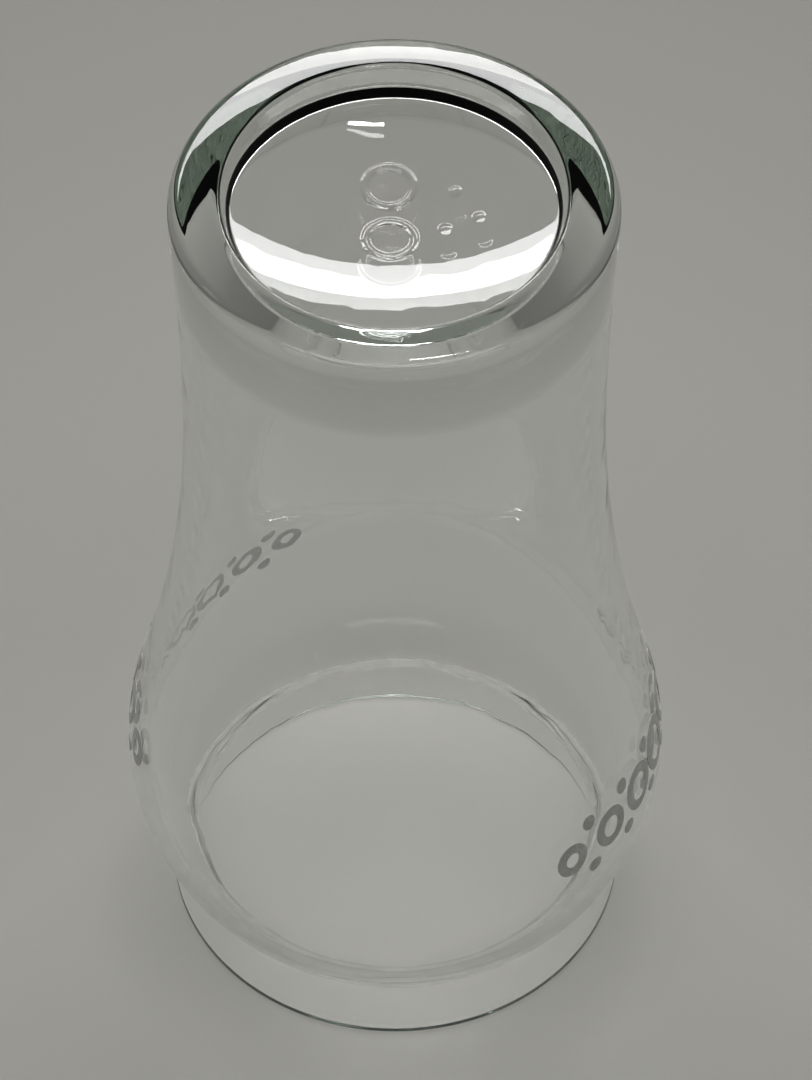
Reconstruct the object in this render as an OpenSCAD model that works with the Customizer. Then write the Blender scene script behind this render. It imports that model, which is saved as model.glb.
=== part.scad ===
// Bell-shaped soda tumbler, standing upside down on its rim as it is stored.
// Clear glass with a hollow foot, and a fired enamel print on two sides.
// The rim rests on z = 0, the axis of the glass is Z and the foot is on top.

/* [Bell] */
// Height from the rim to the top of the foot ring
height = 159; // [156:1:164]
// Outer diameter of the lip where its line reaches the rim
rim_d = 72.2; // [71:0.2:74]
// Outer diameter of the crease between lip and belly
crease_d = 68.8; // [67:0.2:70]
// Height of the crease above the rim
crease_z = 10.7; // [9:0.1:12]
// Radius that softens the crease outside
crease_round = 3; // [2:0.5:5]
// Outer diameter of the belly
belly_d = 84.4; // [82:0.2:88]
// Height of the widest part of the belly above the rim
belly_z = 32.5; // [31:0.5:35]
// Outer diameter of the waist
waist_d = 63.2; // [61:0.2:64.4]
// Height of the waist above the rim
waist_z = 115; // [108:1:116]
// Thickness of the wall
wall = 2.6; // [2.2:0.1:3.2]
// Radius of the fire-polished rim edge
rim_round = 0.9; // [0.5:0.1:1]

/* [Foot] */
// Largest outer diameter round the foot
heel_d = 65.6; // [65:0.2:68]
// Radius of the heel, between the wall and the crown of the foot ring
heel_round = 2.4; // [2:0.1:3.4]
// Radius of the crown, the broad sloping top of the foot ring
crown_round = 55; // [35:1:75]
// Slope of the crown where it leaves the bearing flat, in degrees
crown_slope = 6; // [3:0.5:8]
// Width of the flat that the glass stands on when it is upright
bearing_w = 0.4; // [0.3:0.1:0.8]
// Radius of the inner edge of the foot ring
ring_round = 0.8; // [0.4:0.1:1]
// Lean of the inner side of the foot ring, in degrees
side_lean = 20; // [14:1:24]
// Radius between that side and the dish
side_round = 1.3; // [0.6:0.1:2]
// Diameter of the dish, the wide bottom of the hollow
dish_d = 47.2; // [46:0.2:48]
// Radius of the dish
dish_round = 78; // [70:1:110]
// Depth of the hollow below the bearing flat, at the axis
hollow_depth = 6.4; // [6:0.1:7]
// Thickness of the base between the hollow and the cavity
base_thick = 4.7; // [4.2:0.1:5.5]
// Diameter of the cavity's end, measured at the bottom of the channel round it
channel_d = 49.2; // [46:0.2:50]
// Radius in the bottom of that channel
channel_round = 0.3; // [0.2:0.1:1.2]
// Slope from the channel to the shoulder of the cavity, in degrees
cone_slope = 64; // [54:1:68]
// Radius of the cavity's shoulder
shoulder_round = 5.5; // [3:0.5:8]

/* [Moulded marks] */
// Diameter of the raised rings in the dish, at the middle of their ridge
mark_d = 7.2; // [5:0.2:8]
// Width of the ridge of a raised ring
mark_w = 1.4; // [1:0.1:1.8]
// Diameter of the pips beside the rings
pip_d = 2.2; // [1.6:0.2:2.6]
// Height that the marks stand above the dish
mark_h = 0.35; // [0.2:0.05:0.45]

/* [Enamel prints] */
// Thickness of the fired enamel
enamel_t = 0.12; // [0.08:0.02:0.2]
// Height of the middle of the prints above the rim
print_z = 40; // [36:0.5:44]
// Direction of the first print, about the axis from +X
print_turn = -11; // [-180:1:180]
// Turn from the first print to the second
print_apart = 166; // [150:1:180]
// Bubble rings on each side of the middle one
rings_each_side = 3; // [1:1:4]
// Turn from one bubble ring to the next
ring_pitch = 12.5; // [12.5:0.5:16]
// Outer diameter of the middle bubble ring
ring_d = 9; // [7:0.5:9]
// How much smaller each ring is than the one before it
ring_taper = 1; // [0.5:0.1:1.2]
// Width of the stroke of a bubble ring
stroke = 1.7; // [1:0.1:1.8]
// Diameter of the dots between the rings
dot_d = 2.6; // [1.6:0.2:2.8]
// Height of the dots above and below the middle of the print
dot_rise = 4.6; // [4.6:0.1:6]

/* [Hidden] */
$fn = 96;

glass_colour = [0.78, 0.84, 0.81, 0.45];
enamel_colour = [0.42, 0.42, 0.41];

crease_r = crease_d / 2;
belly_r = belly_d / 2;
waist_r = waist_d / 2;
heel_r = heel_d / 2;

// The lip is a line that leans outwards towards the rim.
lean = atan((rim_d / 2 - crease_r) / crease_z);
lip_up = [-sin(lean), cos(lean)];
lip_out = [cos(lean), sin(lean)];
crease = [crease_r, crease_z];

// Lower belly: an arc from the crease to the widest point, upright there.
low_drop = belly_r - crease_r;
low_rise = belly_z - crease_z;
low_r = (low_drop ^ 2 + low_rise ^ 2) / (2 * low_drop);
low_c = [belly_r - low_r, belly_z];

// Crease round: touches the lip's line and the lower belly's arc.
from_low = crease + crease_round * lip_out - low_c;
along = from_low * lip_up;
slide = -along - sqrt(along ^ 2 - from_low * from_low + (low_r + crease_round) ^ 2);
round_c = crease + crease_round * lip_out + slide * lip_up;
to_low = (low_c - round_c) / norm(low_c - round_c);

// Upper belly: a zone of a sphere. Lower waist: the arc that touches it and is upright at the waist.
ball_c = [0, belly_z];
waist_rise = waist_z - belly_z;
sweep_r = (waist_rise ^ 2 + waist_r ^ 2 - belly_r ^ 2) / (2 * (belly_r - waist_r));
sweep_c = [waist_r + sweep_r, waist_z];
to_sweep = (sweep_c - ball_c) / norm(sweep_c - ball_c);

// A smooth chain of arcs. Slopes are counted from the horizontal, in degrees, and rise outwards.
// An arc with side 1 has its centre above the line, and one with side -1 below it.
function arc_centre(start, radius, slope, side) = start + side * radius * [-sin(slope), cos(slope)];
function arc_end(centre, radius, slope, side) = centre + side * radius * [sin(slope), -cos(slope)];

// Hollow under the foot, from the axis outwards: the dish, and the inner side of the foot ring.
hollow_z = height - hollow_depth;
dish_c = [0, hollow_z + dish_round];
dish_slope = asin(dish_d / 2 / dish_round);
dish_end = arc_end(dish_c, dish_round, dish_slope, 1);
side_c = arc_centre(dish_end, side_round, dish_slope, 1);
side_low = arc_end(side_c, side_round, 90 - side_lean, 1);
side_rise = height - ring_round * (1 - sin(side_lean)) - side_low[1];
side_high = side_low + side_rise * [tan(side_lean), 1];
edge_c = side_high + ring_round * [cos(side_lean), -sin(side_lean)];

// Foot ring: a crown arc from the bearing flat, then the heel round that touches it.
bearing_r = edge_c[0] + bearing_w;
crown_c = [bearing_r, height] - crown_round * [sin(crown_slope), cos(crown_slope)];
heel_x = heel_r - heel_round;
heel_c = [heel_x, crown_c[1] + sqrt((crown_round - heel_round) ^ 2 - (heel_x - crown_c[0]) ^ 2)];

// Upper waist: the arc that is upright at the waist and touches the heel round.
heel_rise = heel_c[1] - waist_z;
flare_r = ((waist_r - heel_x) ^ 2 + heel_rise ^ 2 - heel_round ^ 2) / (2 * (heel_r - waist_r));
flare_c = [waist_r + flare_r, waist_z];

// End of the cavity, from the axis outwards: it runs along under the dish, turns down at the channel,
// and a cone leads to the shoulder that touches the inside of the wall.
ceiling_round = dish_round + base_thick;
ceiling_slope = asin(channel_d / 2 / ceiling_round);
ceiling_end = arc_end(dish_c, ceiling_round, ceiling_slope, 1);
channel_c = arc_centre(ceiling_end, channel_round, ceiling_slope, -1);
cone_start = arc_end(channel_c, channel_round, -cone_slope, -1);
cone_way = [cos(cone_slope), -sin(cone_slope)];
from_flare = arc_centre(cone_start, shoulder_round, -cone_slope, -1) - flare_c;
cone_along = from_flare * cone_way;
shoulder_reach = flare_r + wall + shoulder_round;
cone_long = -cone_along - sqrt(cone_along ^ 2 - from_flare * from_flare + shoulder_reach ^ 2);
shoulder_c = flare_c + from_flare + cone_long * cone_way;

// Places of the raised rings and of the pips in the dish, to the right of the axis and behind it.
mark_places = [[-0.8, 7], [-0.6, -3]];
pip_places = [[8.9, 5.7], [12.3, 0.5], [7.4, -1.2]];
// Depth of the marks' roots in the glass of the base
mark_root = 0.5;
// Rise of the dish from the middle of a raised ring to its ridge
mark_rise = dish_round - sqrt(dish_round ^ 2 - mark_d ^ 2 / 4);

// Longest straight piece, and widest turn, that stands in for a stretch of an arc
arc_piece = 2.4;
arc_turn = 12;

function angle_of(v) = atan2(v[1], v[0]);

// Points along an arc after its first one, which the outline before it has already reached
function arc(centre, radius, from, to) =
    let (
        swing = to - from,
        steps = ceil(max(abs(swing) / arc_turn, abs(swing) * radius * PI / 180 / arc_piece))
    )
    [for (i = [1 : steps]) centre + radius * [cos(from + swing * i / steps), sin(from + swing * i / steps)]];

function backwards(points) = [for (i = [len(points) - 1 : -1 : 0]) points[i]];

// The bell's wall from the top of the lip to the waist, moved inwards by depth
function bell_line(depth) =
    let (
        lip_angle = 180 + lean,
        low_angle = angle_of(to_low),
        sweep_angle = angle_of(to_sweep)
    )
    concat(
        [round_c - (crease_round + depth) * lip_out],
        arc(round_c, crease_round + depth, lip_angle, low_angle),
        arc(low_c, low_r - depth, low_angle - 180, 0),
        arc(ball_c, belly_r - depth, 0, sweep_angle),
        arc(sweep_c, sweep_r + depth, 180 + sweep_angle, 180)
    );

// The outside from the waist over the heel and the crown to the bearing flat
function foot_line() =
    let (
        flare_angle = angle_of(flare_c - heel_c),
        heel_angle = angle_of(heel_c - crown_c)
    )
    concat(
        arc(flare_c, flare_r, 180, 180 + flare_angle),
        arc(heel_c, heel_round, flare_angle, heel_angle),
        arc(crown_c, crown_round, heel_angle, 90 - crown_slope)
    );

// The hollow, from the axis to the inner edge of the bearing flat
function hollow_line() = concat(
    [[0, hollow_z]],
    arc(dish_c, dish_round, -90, dish_slope - 90),
    arc(side_c, side_round, dish_slope - 90, -side_lean),
    [side_high],
    arc(edge_c, ring_round, 180 - side_lean, 90)
);

// The end of the cavity, from the axis over the channel and down the inside of the wall to the waist
function cavity_line() =
    let (shoulder_angle = angle_of(flare_c - shoulder_c))
    concat(
        [[0, hollow_z - base_thick]],
        arc(dish_c, ceiling_round, -90, ceiling_slope - 90),
        arc(channel_c, channel_round, ceiling_slope + 90, 90 - cone_slope),
        backwards(concat(
            arc(flare_c, flare_r + wall, 180, 180 + shoulder_angle),
            arc(shoulder_c, shoulder_round, shoulder_angle, 90 - cone_slope)
        ))
    );

// The two rounded edges of the rim, from the inside to the outside, with the flat between them
function rim_line() =
    let (
        turn_in = [rim_round * cos(lean), rim_round * sin(lean)],
        outer_z = rim_round + turn_in[1],
        outer_r = crease_r + (crease_z - outer_z) * tan(lean),
        inner_z = rim_round - turn_in[1],
        inner_r = crease_r + (crease_z - inner_z - wall * sin(lean)) * tan(lean) - wall * cos(lean),
        inner_touch = [inner_r, inner_z],
        outer_c = [outer_r, outer_z] - turn_in,
        inner_c = inner_touch + turn_in
    )
    concat(
        [inner_touch],
        arc(inner_c, rim_round, 180 + lean, 270),
        [[outer_c[0], 0]],
        arc(outer_c, rim_round, -90, lean)
    );

// Section of a mark: a round cap of the stated width on its root. It is whole where left is 1, and only the
// half to the right of its middle where left is 0.
function cap_line(width, left) =
    let (
        radius = (width ^ 2 / 4 + mark_h ^ 2) / (2 * mark_h),
        centre = [0, mark_h - radius],
        half_turn = asin(width / 2 / radius),
        start = 90 + left * half_turn
    )
    concat(
        [[-left * width / 2, -mark_root], centre + radius * [cos(start), sin(start)]],
        arc(centre, radius, start, 90 - half_turn),
        [[width / 2, -mark_root]]
    );

// A child made at the lowest point of the dish, moved along the dish to a place
module in_dish(place) {
    translate([0, 0, dish_c[1]])
        rotate(angle_of(place))
            rotate([0, -asin(norm(place) / dish_round), 0])
                translate([0, 0, -dish_round])
                    children();
}

// Raised rings and pips in the dish
module moulded_marks() {
    for (place = mark_places)
        in_dish(place)
            rotate_extrude()
                translate([mark_d / 2, mark_rise])
                    polygon(cap_line(mark_w, 1));
    for (place = pip_places)
        in_dish(place)
            rotate_extrude()
                polygon(cap_line(pip_d, 0));
}

module glass_body() {
    color(glass_colour) {
        rotate_extrude()
            polygon(concat(
                bell_line(0),
                foot_line(),
                backwards(hollow_line()),
                cavity_line(),
                backwards(bell_line(wall)),
                rim_line()
            ));
        moulded_marks();
    }
}

// The enamel's skin over the bell
module enamel_skin() {
    rotate_extrude()
        polygon(concat(bell_line(-enamel_t), backwards(bell_line(0))));
}

// A rod from the axis out through the wall
module rod(turn, rise, diameter) {
    rotate(turn)
        translate([0, 0, print_z + rise])
            rotate([0, 90, 0])
                cylinder(d = diameter, h = belly_d);
}

module print_rings(turn) {
    color(enamel_colour)
        for (k = [-rings_each_side : rings_each_side]) {
            outer = ring_d - ring_taper * abs(k);
            intersection() {
                enamel_skin();
                difference() {
                    rod(turn + k * ring_pitch, 0, outer);
                    rod(turn + k * ring_pitch, 0, outer - 2 * stroke);
                }
            }
        }
}

module print_dots(turn) {
    color(enamel_colour)
        for (k = [-rings_each_side : rings_each_side - 1], side = [-1, 1]) {
            intersection() {
                enamel_skin();
                rod(turn + (k + 0.5) * ring_pitch, side * dot_rise, dot_d);
            }
        }
}

module right_print_rings() { print_rings(print_turn); }
module right_print_dots() { print_dots(print_turn); }
module left_print_rings() { print_rings(print_turn + print_apart); }
module left_print_dots() { print_dots(print_turn + print_apart); }

glass_body();
right_print_rings();
right_print_dots();
left_print_rings();
left_print_dots();
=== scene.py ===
# %% [markdown]
# # A bell-shaped soda tumbler in clear glass
# The glass stands upside down on its rim, as it does on a shelf. It is one piece of glass with a hollow foot,
# and on two sides of its belly it carries a fired enamel print of bubbles. This lesson dresses the solid
# model of that glass: a smooth spun mesh, a clear glass with a little green in its thick parts, and enamel
# that is laid on the curve of the wall.

# %% Load the solid model
import math

import bmesh
import bpy
from mathutils import Matrix, Vector, noise


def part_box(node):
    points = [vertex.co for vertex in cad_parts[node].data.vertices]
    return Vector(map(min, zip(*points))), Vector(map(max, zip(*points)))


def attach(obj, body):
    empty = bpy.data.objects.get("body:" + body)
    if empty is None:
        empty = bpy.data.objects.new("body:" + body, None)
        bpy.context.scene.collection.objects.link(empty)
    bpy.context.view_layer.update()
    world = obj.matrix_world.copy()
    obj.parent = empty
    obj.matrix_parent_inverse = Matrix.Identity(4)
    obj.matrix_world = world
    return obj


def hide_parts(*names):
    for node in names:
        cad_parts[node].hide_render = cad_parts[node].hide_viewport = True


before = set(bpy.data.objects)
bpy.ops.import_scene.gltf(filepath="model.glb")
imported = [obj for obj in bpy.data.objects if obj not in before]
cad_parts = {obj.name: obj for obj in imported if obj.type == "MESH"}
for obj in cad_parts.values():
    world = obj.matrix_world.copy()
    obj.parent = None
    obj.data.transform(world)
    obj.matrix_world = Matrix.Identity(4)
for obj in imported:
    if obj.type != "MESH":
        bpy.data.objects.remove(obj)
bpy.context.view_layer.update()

# %% [markdown]
# ## Sizes
# All sizes are the solid model's own, in millimetres, and become metres where a mesh is made. The height is
# read from the frame. The others are repeated here.

# %% Sizes of the bell and the foot
MM = 0.001
glass_low, glass_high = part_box("glass_body")
HEIGHT = (glass_high[2] - glass_low[2]) / MM
RIM_R = 36.1
CREASE_R = 34.4
CREASE_Z = 10.7
CREASE_ROUND = 3.0
BELLY_R = 42.2
BELLY_Z = 32.5
WAIST_R = 31.6
WAIST_Z = 115.0
WALL = 2.6
RIM_ROUND = 0.9
HEEL_R = 32.8
HEEL_ROUND = 2.4
CROWN_ROUND = 55.0
CROWN_SLOPE = 6.0
BEARING_W = 0.4
RING_ROUND = 0.8
SIDE_LEAN = 20.0
SIDE_ROUND = 1.3
DISH_R = 23.6
DISH_ROUND = 78.0
HOLLOW_DEPTH = 6.4
BASE_THICK = 4.7
CHANNEL_R = 24.6
CHANNEL_ROUND = 0.3
CONE_SLOPE = 64.0
SHOULDER_ROUND = 5.5
print("height %.1f mm, belly %.1f mm across" % (HEIGHT, 2 * BELLY_R))

# %% [markdown]
# ## The camera
# The photograph looks down at the foot from about fifty degrees, from a good way off, so the lens is long.
# The axis of the glass is a little left of the middle of the picture, so camera and target stand a little to
# the right of it.

# %% Camera
ELEVATION = math.radians(50.88)
DISTANCE = 1.0
TARGET = Vector((1.7 * MM, 0, 80.36 * MM))
FOCAL_PIXELS = 6532
PICTURE_HIGH = 1080
SENSOR = 36.0
SIGHT = 50.0

camera_data = bpy.data.cameras.new("camera")
camera_data.sensor_fit = "VERTICAL"
camera_data.sensor_height = SENSOR
camera_data.lens = FOCAL_PIXELS / PICTURE_HIGH * SENSOR
camera_data.clip_end = SIGHT
camera = bpy.data.objects.new("camera", camera_data)
bpy.context.collection.objects.link(camera)
camera.location = TARGET + DISTANCE * Vector((0, -math.cos(ELEVATION), math.sin(ELEVATION)))
camera.rotation_euler = (math.pi / 2 - ELEVATION, 0, 0)
bpy.context.scene.camera = camera
print("lens %.0f mm at %.1f m" % (camera_data.lens, DISTANCE))

# %% [markdown]
# ## Floor, world and lamps
# Clear glass has hardly any colour of its own: it shows what stands round it. So the stage matters as much as
# the material. A plain pale grey floor gives the wall its tone. Its colour is painted darker away from the
# glass:
# this is painted shade, and it shades the places where the foot bends the view far back. A wide low window
# behind the glass draws the white arcs on the foot, a long light over the camera draws the thin line along
# the heel, and a small lamp tube high up leaves a dash in the dish.

# %% Floor
def new_object(name, bm, smooth=True):
    """Makes an object of a finished bmesh, at the origin."""
    mesh = bpy.data.meshes.new(name)
    bm.to_mesh(mesh)
    bm.free()
    if smooth:
        mesh.shade_smooth()
    else:
        mesh.shade_flat()
    obj = bpy.data.objects.new(name, mesh)
    bpy.context.collection.objects.link(obj)
    return obj


FLOOR_GREY = 0.54
# The far grey is painted shade: the floor's colour darkens towards it away from the glass.
FLOOR_PAINTED_SHADE_FAR = 0.29
FLOOR_WARMTH = (1, 0.985, 0.92)
FLOOR_ROUGH = 0.9
FLOOR_SHINE = 0.2
FLOOR_NEAR = 50 * MM
FLOOR_FAR = 350 * MM
FLOOR_HALF = 4.0
FLOOR_GAP = 0.2 * MM

floor_bm = bmesh.new()
bmesh.ops.create_grid(floor_bm, x_segments=1, y_segments=1, size=FLOOR_HALF)
bmesh.ops.translate(floor_bm, verts=floor_bm.verts, vec=(0, 0, -FLOOR_GAP))
floor = new_object("floor", floor_bm, smooth=False)
floor_paint = bpy.data.materials.new("floor_paint")
floor_paint.use_nodes = True
floor_nodes = floor_paint.node_tree.nodes
floor_links = floor_paint.node_tree.links
floor_shader = floor_nodes["Principled BSDF"]
floor_shader.inputs["Roughness"].default_value = FLOOR_ROUGH
floor_shader.inputs["Specular IOR Level"].default_value = FLOOR_SHINE
floor_place = floor_nodes.new("ShaderNodeTexCoord")
floor_away = floor_nodes.new("ShaderNodeVectorMath")
floor_away.operation = "LENGTH"
# Painted shade: the floor's colour goes from FLOOR_GREY near the glass to a darker grey further off.
floor_shade_fade = floor_nodes.new("ShaderNodeMapRange")
floor_shade_fade.inputs["From Min"].default_value = FLOOR_NEAR
floor_shade_fade.inputs["From Max"].default_value = FLOOR_FAR
floor_tones = floor_nodes.new("ShaderNodeValToRGB")
for tone, grey in zip(floor_tones.color_ramp.elements, (FLOOR_GREY, FLOOR_PAINTED_SHADE_FAR)):
    tone.color = [grey * part for part in FLOOR_WARMTH] + [1]
floor_links.new(floor_place.outputs["Object"], floor_away.inputs[0])
floor_links.new(floor_away.outputs["Value"], floor_shade_fade.inputs["Value"])
floor_links.new(floor_shade_fade.outputs["Result"], floor_tones.inputs["Fac"])
floor_links.new(floor_tones.outputs["Color"], floor_shader.inputs["Base Color"])
floor.data.materials.append(floor_paint)
print("floor %.2f, fading to %.2f" % (FLOOR_GREY, FLOOR_PAINTED_SHADE_FAR))

# %% [markdown]
# The room is dark, so that the foot gets its dark lines, and only a little lighter on both sides. How far a
# direction points sideways is its X without the sign, and a ramp gives the light for it.

# %% World
ROOM_DARK = (0.04, 0.043, 0.04, 1)
ROOM_SIDES = (0.16, 0.16, 0.15, 1)
DARK_UP_TO = 0.2
SIDES_FROM = 0.9

world = bpy.data.worlds.new("world")
bpy.context.scene.world = world
world.use_nodes = True
world_nodes = world.node_tree.nodes
world_links = world.node_tree.links
world_shader = world_nodes["Background"]
world_place = world_nodes.new("ShaderNodeTexCoord")
world_split = world_nodes.new("ShaderNodeSeparateXYZ")
sideways = world_nodes.new("ShaderNodeMath")
sideways.operation = "ABSOLUTE"
world_ramp = world_nodes.new("ShaderNodeValToRGB")
middle, sides = world_ramp.color_ramp.elements
middle.position = DARK_UP_TO
middle.color = ROOM_DARK
sides.position = SIDES_FROM
sides.color = ROOM_SIDES
world_links.new(world_place.outputs["Generated"], world_split.inputs["Vector"])
world_links.new(world_split.outputs["X"], sideways.inputs[0])
world_links.new(sideways.outputs["Value"], world_ramp.inputs["Fac"])
world_links.new(world_ramp.outputs["Color"], world_shader.inputs["Color"])
print("world: dark in front and behind, lighter on both sides")

# %% [markdown]
# The window and the long light are curved bands, so that each stands at the same height over the horizon all
# the way along. A flat panel would do as well, but its picture in the round foot would sag at both ends. Each
# band is a short upright edge, spun about the axis of the glass.

# %% Window and long light
BAND_AWAY = 1.5
BAND_STEPS = 32
WINDOW_RADIANCE = 10.0
CEILING_RADIANCE = 3.0


def light_band(name, low, high, half_turn, middle_turn, radiance):
    """A band of light between two heights in degrees, to both sides of a direction counted from +Y."""
    bm = bmesh.new()
    edge = []
    for rise in (math.radians(low), math.radians(high)):
        up = HEIGHT * MM + BAND_AWAY * math.sin(rise)
        edge.append(bm.verts.new((0, BAND_AWAY * math.cos(rise), up)))
    edge.append(bm.edges.new(edge))
    start = Matrix.Rotation(math.radians(middle_turn - half_turn), 3, "Z")
    bmesh.ops.rotate(bm, verts=bm.verts, cent=(0, 0, 0), matrix=start)
    bmesh.ops.spin(
        bm, geom=edge, cent=(0, 0, 0), axis=(0, 0, 1),
        angle=math.radians(2 * half_turn), steps=BAND_STEPS,
    )
    band = new_object(name, bm)
    light = bpy.data.materials.new(name + "_light")
    light.use_nodes = True
    shader = light.node_tree.nodes["Principled BSDF"]
    shader.inputs["Base Color"].default_value = (0, 0, 0, 1)
    shader.inputs["Emission Color"].default_value = (1, 1, 1, 1)
    shader.inputs["Emission Strength"].default_value = radiance
    band.data.materials.append(light)
    print(name, len(band.data.polygons), "faces")


light_band("window", low=26, high=36, half_turn=36, middle_turn=0, radiance=WINDOW_RADIANCE)
light_band("ceiling_light", low=60, high=74, half_turn=80, middle_turn=180, radiance=CEILING_RADIANCE)

# %% [markdown]
# The lamp tube is far off and thin, so it gives hardly any light: it is there for its picture in the dish. An
# area light can be a long rectangle, so no mesh is needed for it. It is tipped about X alone, so that its
# length stays level, and its strength is worked out from the radiance that it should show.

# %% Lamp tube
TUBE_LONG = 0.2
TUBE_THICK = 0.02
TUBE_AWAY = 1.8
TUBE_WAY = Vector((0.085, 0.29, 0.953))
TUBE_RADIANCE = 80.0

tube_data = bpy.data.lights.new("lamp_tube", "AREA")
tube_data.shape = "RECTANGLE"
tube_data.size = TUBE_LONG
tube_data.size_y = TUBE_THICK
tube_data.energy = TUBE_RADIANCE * math.pi * TUBE_LONG * TUBE_THICK
tube = bpy.data.objects.new("lamp_tube", tube_data)
bpy.context.collection.objects.link(tube)
tube.location = Vector((0, 0, HEIGHT * MM)) + TUBE_AWAY * TUBE_WAY
tube.rotation_euler = (-math.atan2(TUBE_WAY.y, TUBE_WAY.z), 0, 0)
print("lamp tube %.1f W" % tube_data.energy)

# %% [markdown]
# ## The section of the glass
# A glass is a turned shape, so all of it is in one half section. A section like this could be typed in as a
# list of points, but then its arcs would be lost. Here a pen is moved instead: a straight stroke extrudes the
# last vertex, and a round stroke spins it about the centre of its arc.

# %% A pen for half sections
SEAM_GAP = 0.002 * MM


class Pen:
    """Draws a chain of edges in the XZ plane, in millimetres."""

    def __init__(self, r, z):
        self.bm = bmesh.new()
        self.tip = self.bm.verts.new((r * MM, 0, z * MM))

    def line(self, r, z):
        """Straight from the tip to a radius and a height."""
        made = bmesh.ops.extrude_vert_indiv(self.bm, verts=[self.tip])
        self.tip = made["verts"][0]
        self.tip.co = (r * MM, 0, z * MM)

    def arc(self, centre, start, end, steps):
        """From the tip round the centre, between two angles in degrees counted from +X towards +Z."""
        middle = Vector((centre[0] * MM, 0, centre[1] * MM))
        swing = math.radians(end - start)
        made = bmesh.ops.spin(
            self.bm, geom=[self.tip], cent=middle, axis=(0, -1, 0), angle=swing, steps=steps
        )
        self.tip = [g for g in made["geom_last"] if isinstance(g, bmesh.types.BMVert)][0]

    def spin(self, steps):
        """Turns the chain once round the Z axis and closes the seam and the poles."""
        bm = self.bm
        bmesh.ops.spin(
            bm, geom=bm.verts[:] + bm.edges[:], cent=(0, 0, 0), axis=(0, 0, 1),
            angle=2 * math.pi, steps=steps, use_merge=True,
        )
        bmesh.ops.remove_doubles(bm, verts=bm.verts, dist=SEAM_GAP)
        bmesh.ops.recalc_face_normals(bm, faces=bm.faces)
        return bm


def angle_of(v):
    """Degrees from +X towards +Z."""
    return math.degrees(math.atan2(v[1], v[0]))


# %% [markdown]
# The lip leans outwards, the crease is a small round between lip and belly, the belly is part of a ball, and
# two long arcs make the waist. Each centre follows from the sizes, because every arc touches the next one.

# %% Centres of the arcs
LEAN = math.atan2(RIM_R - CREASE_R, CREASE_Z)
lip_up = Vector((-math.sin(LEAN), math.cos(LEAN)))
lip_out = Vector((math.cos(LEAN), math.sin(LEAN)))
crease = Vector((CREASE_R, CREASE_Z))

low_drop = BELLY_R - CREASE_R
low_rise = BELLY_Z - CREASE_Z
LOW_R = (low_drop ** 2 + low_rise ** 2) / (2 * low_drop)
low_c = Vector((BELLY_R - LOW_R, BELLY_Z))

from_low = crease + CREASE_ROUND * lip_out - low_c
along = from_low.dot(lip_up)
reach = (LOW_R + CREASE_ROUND) ** 2 - from_low.length_squared
round_c = crease + CREASE_ROUND * lip_out - (along + math.sqrt(along ** 2 + reach)) * lip_up
LOW_ANGLE = angle_of(low_c - round_c)

ball_c = Vector((0, BELLY_Z))
waist_rise = WAIST_Z - BELLY_Z
SWEEP_R = (waist_rise ** 2 + WAIST_R ** 2 - BELLY_R ** 2) / (2 * (BELLY_R - WAIST_R))
sweep_c = Vector((WAIST_R + SWEEP_R, WAIST_Z))
SWEEP_ANGLE = angle_of(sweep_c - ball_c)
print("lip leans %.1f degrees, sweep to the waist %.0f mm" % (math.degrees(LEAN), SWEEP_R))

# %% [markdown]
# The foot is a longer chain of arcs that run smoothly into each other. Outside it is a ring round a hollow,
# and the bottom of the hollow is one wide shallow dish. Inside, the end of the cavity follows the dish at the
# thickness of the base, turns down in a narrow channel, and a cone leads to the shoulder. This shape decides
# which parts of the foot are clear, which are white and which are black, so it is followed closely.

# %% Centres of the foot's arcs
def polar(degrees):
    """A step of one millimetre in a direction counted from +X towards +Z."""
    return Vector((math.cos(math.radians(degrees)), math.sin(math.radians(degrees))))


hollow_z = HEIGHT - HOLLOW_DEPTH
dish_c = Vector((0, hollow_z + DISH_ROUND))
DISH_SLOPE = math.degrees(math.asin(DISH_R / DISH_ROUND))
dish_end = dish_c + DISH_ROUND * polar(DISH_SLOPE - 90)
side_c = dish_end - SIDE_ROUND * polar(DISH_SLOPE - 90)
side_low = side_c + SIDE_ROUND * polar(-SIDE_LEAN)
side_lean = math.radians(SIDE_LEAN)
side_rise = HEIGHT - RING_ROUND * (1 - math.sin(side_lean)) - side_low[1]
side_high = side_low + side_rise * Vector((math.tan(side_lean), 1))
edge_c = side_high - RING_ROUND * polar(180 - SIDE_LEAN)

bearing_r = edge_c[0] + BEARING_W
crown_c = Vector((bearing_r, HEIGHT)) - CROWN_ROUND * polar(90 - CROWN_SLOPE)
heel_x = HEEL_R - HEEL_ROUND
heel_lift = math.sqrt((CROWN_ROUND - HEEL_ROUND) ** 2 - (heel_x - crown_c[0]) ** 2)
heel_c = Vector((heel_x, crown_c[1] + heel_lift))
CROWN_ANGLE = angle_of(heel_c - crown_c)
heel_rise = heel_c[1] - WAIST_Z
FLARE_R = ((WAIST_R - heel_x) ** 2 + heel_rise ** 2 - HEEL_ROUND ** 2) / (2 * (HEEL_R - WAIST_R))
flare_c = Vector((WAIST_R + FLARE_R, WAIST_Z))
FLARE_ANGLE = angle_of(flare_c - heel_c)

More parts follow.
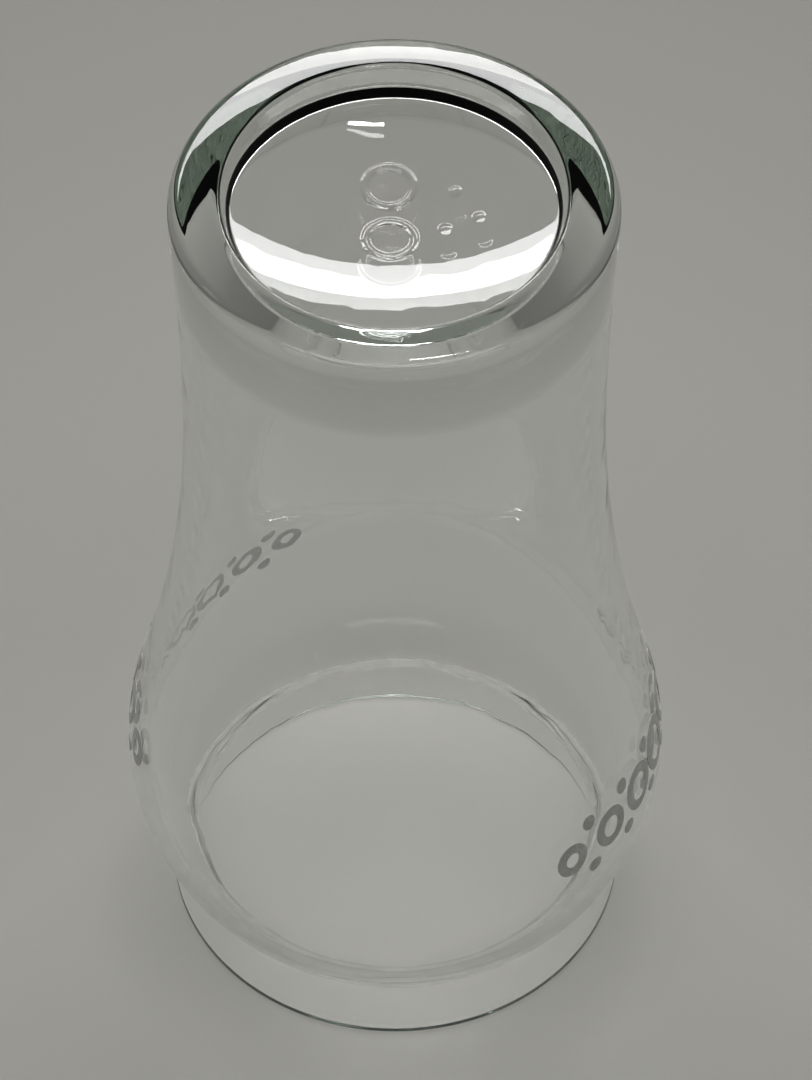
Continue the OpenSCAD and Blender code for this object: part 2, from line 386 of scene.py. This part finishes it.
CEILING_ROUND = DISH_ROUND + BASE_THICK
CEILING_SLOPE = math.degrees(math.asin(CHANNEL_R / CEILING_ROUND))
channel_c = dish_c + CEILING_ROUND * polar(CEILING_SLOPE - 90) - CHANNEL_ROUND * polar(CEILING_SLOPE + 90)
cone_start = channel_c + CHANNEL_ROUND * polar(90 - CONE_SLOPE)
cone_way = polar(-CONE_SLOPE)
from_flare = cone_start - SHOULDER_ROUND * polar(90 - CONE_SLOPE) - flare_c
cone_along = from_flare.dot(cone_way)
cone_reach = (FLARE_R + WALL + SHOULDER_ROUND) ** 2 - from_flare.length_squared
shoulder_c = flare_c + from_flare - (cone_along + math.sqrt(cone_along ** 2 + cone_reach)) * cone_way
SHOULDER_ANGLE = angle_of(flare_c - shoulder_c)
print("bearing ring %.1f mm across, dish %.1f mm across" % (2 * bearing_r, 2 * DISH_R))

# %% [markdown]
# The pen starts on the axis at the closed end of the cavity, goes down the inside of the wall, round the rim,
# up the outside and over the ring of the foot, and ends on the axis in the dish. The last number of an arc is
# its count of steps: many in the dish, which has to carry the marks, and few where the glass is nearly
# straight. One spin of the whole chain then gives both skins at once, with an even wall between them.

# %% Draw and spin the glass
ROUND_STEPS = 240
lean_deg = math.degrees(LEAN)
rim_turn = RIM_ROUND * polar(lean_deg)


def lip_r(z, depth):
    """Radius of the lip's line at a height, moved inwards by depth."""
    return CREASE_R + (CREASE_Z - z - depth * math.sin(LEAN)) * math.tan(LEAN) - depth * math.cos(LEAN)


outer_touch = Vector((lip_r(RIM_ROUND + rim_turn[1], 0), RIM_ROUND + rim_turn[1]))
inner_touch = Vector((lip_r(RIM_ROUND - rim_turn[1], WALL), RIM_ROUND - rim_turn[1]))

pen = Pen(0, hollow_z - BASE_THICK)
pen.arc(dish_c, -90, CEILING_SLOPE - 90, 50)
pen.arc(channel_c, CEILING_SLOPE + 90, 90 - CONE_SLOPE, 10)
pen.line(*(shoulder_c + SHOULDER_ROUND * polar(90 - CONE_SLOPE)))
pen.arc(shoulder_c, 90 - CONE_SLOPE, SHOULDER_ANGLE, 20)
pen.arc(flare_c, 180 + SHOULDER_ANGLE, 180, 14)
pen.arc(sweep_c, 180, 180 + SWEEP_ANGLE, 34)
pen.arc(ball_c, SWEEP_ANGLE, 0, 8)
pen.arc(low_c, 0, LOW_ANGLE - 180, 16)
pen.arc(round_c, LOW_ANGLE, 180 + lean_deg, 8)
pen.line(*inner_touch)
pen.arc(inner_touch + rim_turn, 180 + lean_deg, 270, 7)
pen.line((outer_touch - rim_turn)[0], 0)
pen.arc(outer_touch - rim_turn, -90, lean_deg, 9)
pen.line(*(round_c - CREASE_ROUND * lip_out))
pen.arc(round_c, 180 + lean_deg, LOW_ANGLE, 8)
pen.arc(low_c, LOW_ANGLE - 180, 0, 16)
pen.arc(ball_c, 0, SWEEP_ANGLE, 8)
pen.arc(sweep_c, 180 + SWEEP_ANGLE, 180, 34)
pen.arc(flare_c, 180, 180 + FLARE_ANGLE, 20)
pen.arc(heel_c, FLARE_ANGLE, CROWN_ANGLE, 18)
pen.arc(crown_c, CROWN_ANGLE, 90 - CROWN_SLOPE, 14)
pen.line(edge_c[0], HEIGHT)
pen.arc(edge_c, 90, 180 - SIDE_LEAN, 8)
pen.line(*side_low)
pen.arc(side_c, -SIDE_LEAN, DISH_SLOPE - 90, 12)
pen.arc(dish_c, DISH_SLOPE - 90, -90, 84)
glass_bm = pen.spin(ROUND_STEPS)
print("glass: %d faces" % len(glass_bm.faces))

# %% [markdown]
# The mould leaves raised marks in the dish: here two plain rings and three pips. Hot glass also chills
# unevenly against the mould, which leaves a faint waviness of a few thousandths of a millimetre. It can't be
# seen as a shape, but it makes the edges of the reflections in the foot ragged, as they are on a real glass.
# Both are lifts of the vertices, so the mesh stays one closed skin. The flat that the foot rests on is left
# as it is.

# %% Marks and waviness of the foot
MARK_PLACES = (Vector((-0.8, 7.0)), Vector((-0.6, -3.0)))
MARK_R = 3.6
MARK_W = 1.4
PIP_PLACES = (Vector((8.9, 5.7)), Vector((12.3, 0.5)), Vector((7.4, -1.2)))
PIP_D = 2.2
MARK_H = 0.35
WAVE_LONG = 4.0
WAVE_SHORT = 1.5
WAVE_LONG_H = 0.006
WAVE_SHORT_H = 0.002
BELOW_SKIN = 0.1
BELOW_BEARING = 0.05


def ridge(distance, width):
    """Height of a rounded ridge at a distance from its middle."""
    across = min(abs(distance) / (width / 2), 1)
    return MARK_H * (1 - across ** 2)


def waviness(place):
    """Lift of the skin at a place, all in millimetres."""
    return WAVE_LONG_H * noise.noise(place / WAVE_LONG) + WAVE_SHORT_H * noise.noise(place / WAVE_SHORT)


raised = 0
for vert in glass_bm.verts:
    place = vert.co / MM
    if place.z < hollow_z - BASE_THICK - BELOW_SKIN:
        continue
    lift = waviness(place)
    flat = Vector((place.x, place.y))
    if place.z > hollow_z - BELOW_SKIN and flat.length < DISH_R:
        marks = [ridge((flat - spot).length - MARK_R, MARK_W) for spot in MARK_PLACES]
        marks += [ridge((flat - spot).length, PIP_D) for spot in PIP_PLACES]
        lift += max(marks)
        raised += max(marks) > 0
    if place.z < HEIGHT - BELOW_BEARING:
        vert.co.z += lift * MM
print("marks: %d vertices raised" % raised)

glass = new_object("tumbler_glass", glass_bm)

# %% [markdown]
# ## Ripples and smudges
# No glass from a mould is quite even, and none that is handled stays quite clean. A shader group gives both
# as numbers: a height for the faint ripples, and a roughness that rises in a few smudges. Both come from
# noise at the place on the object, so they stay where they are when the glass is turned.

# %% Ripples and smudges
RIPPLE_LONG = 7.0
RIPPLE_H = 0.02
SMUDGE_LONG = 18.0
SMUDGE_ROUGH = 0.05
SMUDGE_FROM = 0.55
SMUDGE_FULL = 0.75


def noise_at_place(tree, size, detail):
    """Noise over the object's own place, with patches of about the given size in millimetres."""
    place = tree.nodes.new("ShaderNodeTexCoord")
    texture = tree.nodes.new("ShaderNodeTexNoise")
    texture.inputs["Scale"].default_value = 1 / (size * MM)
    texture.inputs["Detail"].default_value = detail
    tree.links.new(place.outputs["Object"], texture.inputs["Vector"])
    return texture.outputs["Fac"]


def map_range(tree, value, from_low, from_high, to_low, to_high):
    """The value moved from one range to another, and kept inside it."""
    node = tree.nodes.new("ShaderNodeMapRange")
    for name, number in (
        ("From Min", from_low), ("From Max", from_high), ("To Min", to_low), ("To Max", to_high)
    ):
        node.inputs[name].default_value = number
    tree.links.new(value, node.inputs["Value"])
    return node.outputs["Result"]


handled = bpy.data.node_groups.new("handled_glass", "ShaderNodeTree")
handled.interface.new_socket("Height", in_out="OUTPUT", socket_type="NodeSocketFloat")
handled.interface.new_socket("Roughness", in_out="OUTPUT", socket_type="NodeSocketFloat")
handled_out = handled.nodes.new("NodeGroupOutput")
handled.links.new(noise_at_place(handled, RIPPLE_LONG, 1), handled_out.inputs["Height"])
patches = noise_at_place(handled, SMUDGE_LONG, 5)
smudge = map_range(handled, patches, SMUDGE_FROM, SMUDGE_FULL, 0, SMUDGE_ROUGH)
handled.links.new(smudge, handled_out.inputs["Roughness"])
print("handled_glass: %d nodes" % len(handled.nodes))

# %% [markdown]
# ## Clear glass
# Soda-lime glass bends light with an index of about 1.5 and takes away a little more red and blue than green,
# which only shows where the light has a long way to go, as in the foot. So the surface is colourless and the
# tint is in the volume. Light that falls on the floor through two walls of glass is only a little weaker, but
# a path tracer hardly finds its bent way back to the lamps. So shadow rays see a thin grey veil instead.

# %% Glass material
GLASS_IOR = 1.5
GLASS_TINT = (0.5, 0.6, 0.52, 1)
TINT_DENSITY = 13
SHADOW_VEIL = (0.66, 0.66, 0.66, 1)

clear_glass = bpy.data.materials.new("clear_glass")
clear_glass.use_nodes = True
glass_nodes = clear_glass.node_tree.nodes
glass_links = clear_glass.node_tree.links
glass_shader = glass_nodes["Principled BSDF"]
glass_shader.inputs["Base Color"].default_value = (1, 1, 1, 1)
glass_shader.inputs["IOR"].default_value = GLASS_IOR
glass_shader.inputs["Transmission Weight"].default_value = 1.0
wear = glass_nodes.new("ShaderNodeGroup")
wear.node_tree = handled
ripples = glass_nodes.new("ShaderNodeBump")
ripples.inputs["Strength"].default_value = 1.0
ripples.inputs["Distance"].default_value = RIPPLE_H * MM
glass_links.new(wear.outputs["Height"], ripples.inputs["Height"])
glass_links.new(ripples.outputs["Normal"], glass_shader.inputs["Normal"])
glass_links.new(wear.outputs["Roughness"], glass_shader.inputs["Roughness"])
tint = glass_nodes.new("ShaderNodeVolumeAbsorption")
tint.inputs["Color"].default_value = GLASS_TINT
tint.inputs["Density"].default_value = TINT_DENSITY
glass_links.new(tint.outputs["Volume"], glass_nodes["Material Output"].inputs["Volume"])
lamp_way_in = glass_nodes.new("ShaderNodeBsdfTransparent")
lamp_way_in.inputs["Color"].default_value = SHADOW_VEIL
ray_kind = glass_nodes.new("ShaderNodeLightPath")
glass_mix = glass_nodes.new("ShaderNodeMixShader")
glass_links.new(ray_kind.outputs["Is Shadow Ray"], glass_mix.inputs[0])
glass_links.new(glass_shader.outputs["BSDF"], glass_mix.inputs[1])
glass_links.new(lamp_way_in.outputs["BSDF"], glass_mix.inputs[2])
glass_links.new(glass_mix.outputs["Shader"], glass_nodes["Material Output"].inputs["Surface"])
glass.data.materials.append(clear_glass)
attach(glass, "root")
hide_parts("glass_body")
print("clear_glass: %d nodes" % len(glass_nodes))

# %% [markdown]
# ## The enamel prints
# The prints are screened on as a paste of ground glass and fired on. Each island is drawn flat, then laid on
# the wall: across the print it keeps its distance from the radius through its middle, as a screen does.

# %% Radius of the outside at a height
def wall_r(z):
    """Radius of the wall's outside, from the crease up to the waist."""
    if z < BELLY_Z:
        return low_c[0] + math.sqrt(LOW_R ** 2 - (z - BELLY_Z) ** 2)
    if z < BELLY_Z + BELLY_R * math.sin(math.radians(SWEEP_ANGLE)):
        return math.sqrt(BELLY_R ** 2 - (z - BELLY_Z) ** 2)
    return sweep_c[0] - math.sqrt(SWEEP_R ** 2 - (z - WAIST_Z) ** 2)


# %% [markdown]
# A row of bubbles gets smaller towards both ends, with pairs of dots between them. A ring starts as a filled
# circle: two insets leave two bands of faces and a middle, and the middle is deleted. A dot is one inset with
# its middle poked to a fan. The extra loops let the islands bend with the wall. Each is then extruded to the
# thickness of the paste, with its base sunk a little into the glass so that no gap shows.

# %% Print islands
PRINT_Z = 40.0
PRINT_TURN = -11.0
PRINT_APART = 166.0
RINGS_EACH_SIDE = 3
RING_PITCH = 12.5
RING_D = 9.0
RING_TAPER = 1.0
STROKE = 1.7
DOT_D = 2.6
DOT_RISE = 4.6
ENAMEL_T = 0.12
ENAMEL_SINK = 0.03
ISLAND_SIDES = 48


def lay_on_wall(verts, turn, rise):
    """Moves flat verts (x across, y up, z out, in metres) onto the wall round a place on it."""
    for vert in verts:
        z = PRINT_Z + rise + vert.co.y / MM
        r = wall_r(z) + vert.co.z / MM
        angle = math.radians(turn) + math.asin(vert.co.x / MM / r)
        vert.co = Vector((r * math.cos(angle), r * math.sin(angle), z)) * MM


def inset(bm, face, thickness):
    """Moves the edge of a lone face inwards and returns the band of faces that it leaves."""
    return bmesh.ops.inset_region(
        bm, faces=[face], use_boundary=True, use_even_offset=True, thickness=thickness * MM
    )["faces"]


def add_island(bm, turn, rise, outer_d, inner_d):
    """Adds a ring, or a dot where the inner diameter is nought."""
    made = bmesh.ops.create_circle(bm, cap_ends=True, segments=ISLAND_SIDES, radius=outer_d / 2 * MM)
    face = made["verts"][0].link_faces[0]
    if inner_d > 0:
        half_stroke = (outer_d - inner_d) / 4
        flat = inset(bm, face, half_stroke) + inset(bm, face, half_stroke)
        bmesh.ops.delete(bm, geom=[face], context="FACES")
    else:
        flat = inset(bm, face, outer_d / 4)
        flat += bmesh.ops.poke(bm, faces=[face])["faces"]
    top = bmesh.ops.extrude_face_region(bm, geom=flat)["geom"]
    top_verts = [g for g in top if isinstance(g, bmesh.types.BMVert)]
    base_verts = list({v for f in flat if f.is_valid for v in f.verts})
    bmesh.ops.translate(bm, verts=top_verts, vec=(0, 0, ENAMEL_T * MM))
    bmesh.ops.translate(bm, verts=base_verts, vec=(0, 0, -ENAMEL_SINK * MM))
    lay_on_wall(top_verts + base_verts, turn, rise)


def make_print(name, turn, rings):
    """Makes the rings or the dots of one print, round a turn in degrees."""
    bm = bmesh.new()
    if rings:
        for k in range(-RINGS_EACH_SIDE, RINGS_EACH_SIDE + 1):
            outer = RING_D - RING_TAPER * abs(k)
            add_island(bm, turn + k * RING_PITCH, 0, outer, outer - 2 * STROKE)
    else:
        for k in range(-RINGS_EACH_SIDE, RINGS_EACH_SIDE):
            for side in (-1, 1):
                add_island(bm, turn + (k + 0.5) * RING_PITCH, side * DOT_RISE, DOT_D, 0)
    bmesh.ops.recalc_face_normals(bm, faces=bm.faces)
    obj = new_object(name, bm, smooth=False)
    print(name, len(obj.data.polygons), "faces")
    return obj


# %% [markdown]
# Fired enamel is a grey glass full of fine grain. Years of washing dull it unevenly and rub it paler in small
# patches, so its colour and its roughness both follow a coarse and a fine noise.

# %% Worn enamel
ENAMEL_DARK = (0.48, 0.48, 0.46, 1)
ENAMEL_PALE = (0.7, 0.7, 0.68, 1)
PATCH_LONG = 3.0
GRAIN_LONG = 0.4
RUB_FROM = 0.15
RUB_FULL = 0.4
ENAMEL_SATIN = 0.35
ENAMEL_DULL = 0.6

worn = bpy.data.node_groups.new("worn_enamel", "ShaderNodeTree")
worn.interface.new_socket("Color", in_out="OUTPUT", socket_type="NodeSocketColor")
worn.interface.new_socket("Roughness", in_out="OUTPUT", socket_type="NodeSocketFloat")
worn_out = worn.nodes.new("NodeGroupOutput")
both = worn.nodes.new("ShaderNodeMath")
both.operation = "MULTIPLY"
worn.links.new(noise_at_place(worn, PATCH_LONG, 3), both.inputs[0])
worn.links.new(noise_at_place(worn, GRAIN_LONG, 2), both.inputs[1])
rubbed = map_range(worn, both.outputs["Value"], RUB_FROM, RUB_FULL, 0, 1)
colours = worn.nodes.new("ShaderNodeValToRGB")
colours.color_ramp.elements[0].color = ENAMEL_DARK
colours.color_ramp.elements[1].color = ENAMEL_PALE
worn.links.new(rubbed, colours.inputs["Fac"])
worn.links.new(colours.outputs["Color"], worn_out.inputs["Color"])
dullness = map_range(worn, rubbed, 0, 1, ENAMEL_SATIN, ENAMEL_DULL)
worn.links.new(dullness, worn_out.inputs["Roughness"])
print("worn_enamel: %d nodes" % len(worn.nodes))

# %% [markdown]
# Both prints are of the same paste, so one material serves all four pieces. The second print stands nearly
# opposite the first. Rings and dots stay separate pieces, as they are in the solid model.

# %% Enamel material and the four pieces
enamel = bpy.data.materials.new("grey_enamel")
enamel.use_nodes = True
enamel_shader = enamel.node_tree.nodes["Principled BSDF"]
enamel_wear = enamel.node_tree.nodes.new("ShaderNodeGroup")
enamel_wear.node_tree = worn
enamel.node_tree.links.new(enamel_wear.outputs["Color"], enamel_shader.inputs["Base Color"])
enamel.node_tree.links.new(enamel_wear.outputs["Roughness"], enamel_shader.inputs["Roughness"])
for side, turn in (("right", PRINT_TURN), ("left", PRINT_TURN + PRINT_APART)):
    for kind in ("rings", "dots"):
        piece = make_print("%s_enamel_%s" % (side, kind), turn, kind == "rings")
        piece.data.materials.append(enamel)
        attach(piece, "root")
        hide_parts("%s_print_%s" % (side, kind))

# %% [markdown]
# ## Finish
# In the foot ring light is thrown to and fro between the walls many times before it leaves. With the usual
# few bounces those places would be black, so more of them are allowed.

# %% Finish
ALL_BOUNCES = 32
GLASS_BOUNCES = 24

scene = bpy.context.scene
scene.view_settings.view_transform = "Standard"
scene.cycles.max_bounces = ALL_BOUNCES
scene.cycles.glossy_bounces = GLASS_BOUNCES
scene.cycles.transmission_bounces = GLASS_BOUNCES
